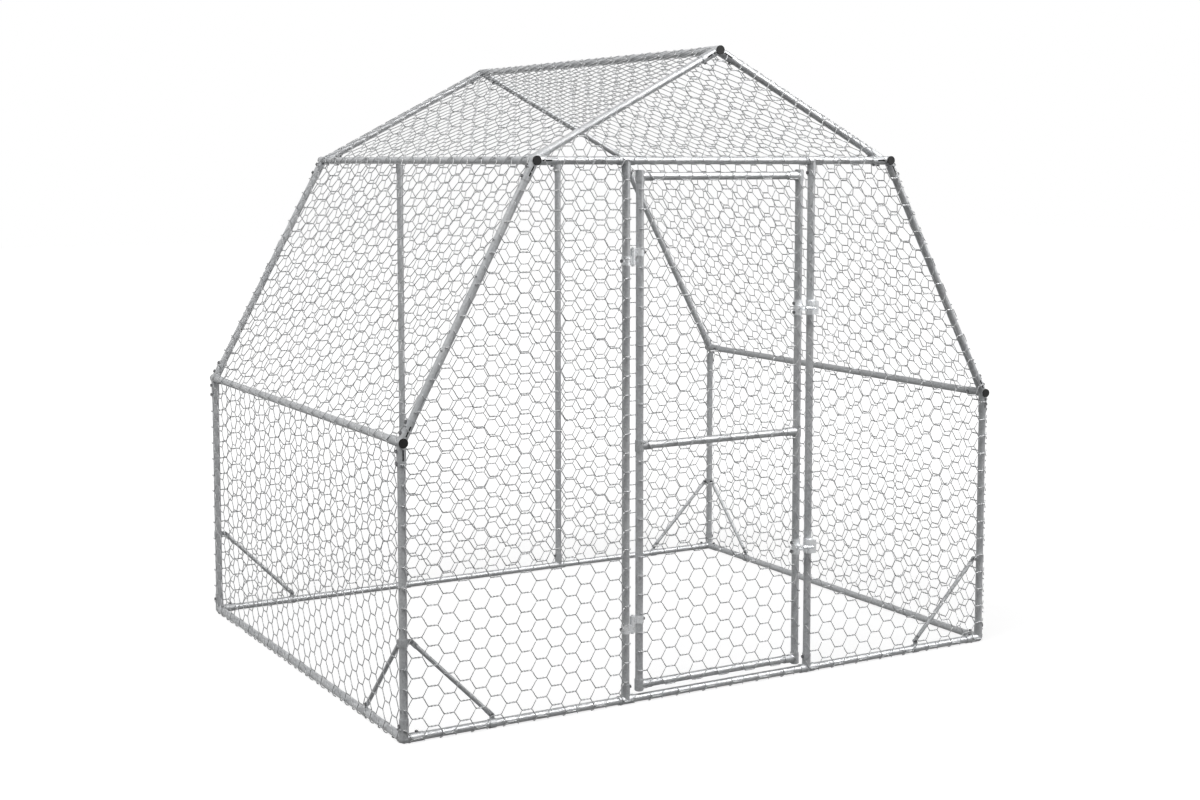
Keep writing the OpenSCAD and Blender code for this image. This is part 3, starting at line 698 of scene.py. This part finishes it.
# %% A strip between two rails
def strip(side, foot, head, half_depth, hooks, clamps=((), (), (), ()), **fit):
    """A rectangle from one rail (foot) to the next (head), each given as (x, z)."""
    climb = np.array([side * (head[0] - foot[0]), 0, head[1] - foot[1]])
    height = np.linalg.norm(climb)
    corners = [(-half_depth, 0), (half_depth, 0), (half_depth, height), (-half_depth, height)]
    edges = list(zip(corners, hooks, clamps))
    return Panel((side * foot[0], 0, foot[1]), (0, side, 0), climb / height, edges, **fit)


# %% Side and roof nets
base, eave = (half_width, base_z), (half_width, eave_z)
shoulder, ridge = (shoulder_x, shoulder_z), (0, ridge_z)
on_base, on_post = [base_clamp, base_clamp_back], [post_clamp, post_clamp_back]
side_hook, eave_hook, shared_hook, rafter_hook = 0.010, 0.008, 0.004, 0.008
rafter_slack = -0.6
lower_start, upper_start, roof_start = (0.01, 0.0), (0.01, 0.02), (0.01, 0.01)
for side, word in ((-1, "left"), (1, "right")):
    lower_hooks = [base_hook, side_hook, eave_hook, side_hook]
    lower = strip(side, base, eave, rear_y, lower_hooks, [on_base, on_post, [], on_post])
    upper_hooks = [shared_hook, side_hook, shared_hook, side_hook]
    upper = strip(side, eave, shoulder, rear_y, upper_hooks)
    roof_hooks = [shared_hook, rafter_hook, 0.0, rafter_hook]
    roof = strip(side, shoulder, ridge, rafter_y, roof_hooks, slack=rafter_slack)
    net(f"{word}_lower_netting", "frame", f"{word}_lower_net", [(lower, lower_start)])
    net(f"{word}_upper_netting", "frame", f"{word}_upper_net", [(upper, upper_start)])
    net(f"{word}_roof_netting", "frame", f"{word}_roof_net", [(roof, roof_start)])

# %% [markdown]
# ## The door's net
# The door carries its own piece, hooked round its stiles and its top and bottom rails. It ends sooner at the
# hinge eyes and the middle rail's tees, and it is cut out round the latch housings. It rides on the door, so
# it swings with it.

# %% Door net
latch_side_tee, hinge_side_tee = (0.74, 0.80), (0.74, 0.88)
hinge_eyes = [(0.19, 0.27), (1.34, 1.44)]
door_hook, hinge_side_hook = 0.016, 0.014
door = Panel(
    *front_plane,
    [
        ((-stile_x, door_low), door_hook, []),
        ((stile_x, door_low), door_hook, [latch_side_tee]),
        ((stile_x, door_top), door_hook, []),
        ((-stile_x, door_top), hinge_side_hook, [hinge_side_tee] + hinge_eyes),
    ],
    latches,
)
net("door_netting", "door", "door_net", [(door, front_start)])

# %% [markdown]
# ## Light, floor and camera
# The picture is a cut-out on white. A white world as strong as that would light the tubes from all sides and
# flatten them. So the world is full white only to the camera, in reflections and through clear things, and
# lights the run itself only faintly. A switch on the kind of light ray does it.

# %% White surround
def seen_directly(tree):
    """1 for rays that show the background: to the camera, in reflections and through clear things."""
    ray = tree.nodes.new("ShaderNodeLightPath")
    either = tree.nodes.new("ShaderNodeMath")
    either.operation = "MAXIMUM"
    tree.links.new(ray.outputs["Is Camera Ray"], either.inputs[0])
    tree.links.new(ray.outputs["Is Glossy Ray"], either.inputs[1])
    any_of_three = tree.nodes.new("ShaderNodeMath")
    any_of_three.operation = "MAXIMUM"
    tree.links.new(either.outputs[0], any_of_three.inputs[0])
    tree.links.new(ray.outputs["Is Transmission Ray"], any_of_three.inputs[1])
    return any_of_three.outputs[0]


def switched(tree, lit_by, seen_as, output):
    """Send one shader to the rays that light things and another to the rays that show the background."""
    switch = tree.nodes.new("ShaderNodeMixShader")
    tree.links.new(seen_directly(tree), switch.inputs[0])
    tree.links.new(lit_by, switch.inputs[1])
    tree.links.new(seen_as, switch.inputs[2])
    tree.links.new(switch.outputs[0], tree.nodes[output].inputs["Surface"])


world = bpy.data.worlds.new("white surround")
bpy.context.scene.world = world
world.use_nodes = True
sky = world.node_tree
faint = sky.nodes["Background"]
faint.inputs["Color"].default_value = (1.0, 1.0, 1.0, 1)
faint.inputs["Strength"].default_value = 0.1
white = sky.nodes.new("ShaderNodeBackground")
white.inputs["Color"].default_value = (1.0, 1.0, 1.0, 1)
white.inputs["Strength"].default_value = 1.0
switched(sky, faint.outputs[0], white.outputs[0], "World Output")
print("surround: lights at", round(faint.inputs["Strength"].default_value, 2), "and shows as white")

# %% [markdown]
# The ground is white too, but it has to keep the run's soft shadow. A grey floor takes the shadow, and a glow
# added to it lifts it to white. The glow is a little weaker round the run, so that the shadow shows there,
# and full farther off, so that the ground meets the background without an edge. To the rays that bounce
# light onto the run the floor is dark, or it would light the tubes from below.

# %% Floor
floor_size, floor_drop = 60, 0.0005
bpy.ops.mesh.primitive_plane_add(size=floor_size, location=(0, 0, -floor_drop))
floor = bpy.context.object
floor.name = "floor"
ground, tree, shader, place = new_material("white ground")
shader.inputs["Roughness"].default_value = 0.9
shader.inputs["Specular IOR Level"].default_value = 0.0
shade = ramp(tree, noise(tree, place, 3.0), [(0.3, (0.29, 0.29, 0.29)), (0.7, (0.31, 0.31, 0.31))])
tree.links.new(shade, shader.inputs["Base Color"])
away = tree.nodes.new("ShaderNodeVectorMath")
away.operation = "LENGTH"
tree.links.new(place, away.inputs[0])
fade = tree.nodes.new("ShaderNodeMapRange")
fade.inputs["From Min"].default_value, fade.inputs["From Max"].default_value = 1.5, 4.5
fade.inputs["To Min"].default_value, fade.inputs["To Max"].default_value = 0.845, 1.0
tree.links.new(away.outputs["Value"], fade.inputs["Value"])
glow = tree.nodes.new("ShaderNodeEmission")
tree.links.new(fade.outputs["Result"], glow.inputs["Strength"])
shadowed = tree.nodes.new("ShaderNodeAddShader")
tree.links.new(shader.outputs[0], shadowed.inputs[0])
tree.links.new(glow.outputs[0], shadowed.inputs[1])
dark = tree.nodes.new("ShaderNodeBsdfDiffuse")
dark.inputs["Color"].default_value = (0.06, 0.06, 0.06, 1)
switched(tree, dark.outputs[0], shadowed.outputs[0], "Material Output")
dress(floor, ground)
print("floor:", floor_size, "m square,", floor_drop, "m below the run")

# %% [markdown]
# A wide, high lamp a little to the left and in front makes the tops of the tubes bright, their sides grey and
# their undersides dark. A second soft lamp from the right lifts that side of every post. A third only gleams
# on the metal and adds no light to its matt colour.

# %% Lamps
def lamp(name, place, size, power):
    data = bpy.data.lights.new(name, "AREA")
    data.size, data.energy = size, power
    obj = bpy.data.objects.new(name, data)
    bpy.context.scene.collection.objects.link(obj)
    obj.location = place
    obj.rotation_euler = (run_middle - Vector(place)).to_track_quat("-Z", "Y").to_euler()
    print(name, "at", place, "with", power, "W")
    return obj


run_middle = Vector((0, 0, 1.0))
lamp("overhead lamp", (-7.0, -3.4, 13.5), 8.0, 1400)
lamp("side lamp", (6.5, -5.0, 2.6), 3.0, 165)
gleam = lamp("gleam lamp", (3.4, -3.9, 5.2), 6.0, 1900)
gleam.visible_diffuse = False

# %% [markdown]
# The photograph was taken from the left of the door at about head height. The camera stands at the place
# that was fitted to the tubes in it; the picture sits a little low on the lens, hence the small shift.

# %% Camera
lens = bpy.data.cameras.new("camera")
lens.sensor_width, lens.lens, lens.shift_y = 36, 52.749, -0.07
camera = bpy.data.objects.new("camera", lens)
bpy.context.scene.collection.objects.link(camera)
camera.location = (-3.14529, -5.56306, 1.71984)
camera.rotation_euler = (math.radians(90 - 5.054), 0, math.radians(-29.911))
bpy.context.scene.camera = camera
bpy.context.scene.view_settings.view_transform = "Standard"
print("camera at", [round(value, 3) for value in camera.location])

# %% [markdown]
# At the end the scene is brought up to date, so that every piece stands where it was put.

# %% Finish
bpy.context.view_layer.update()
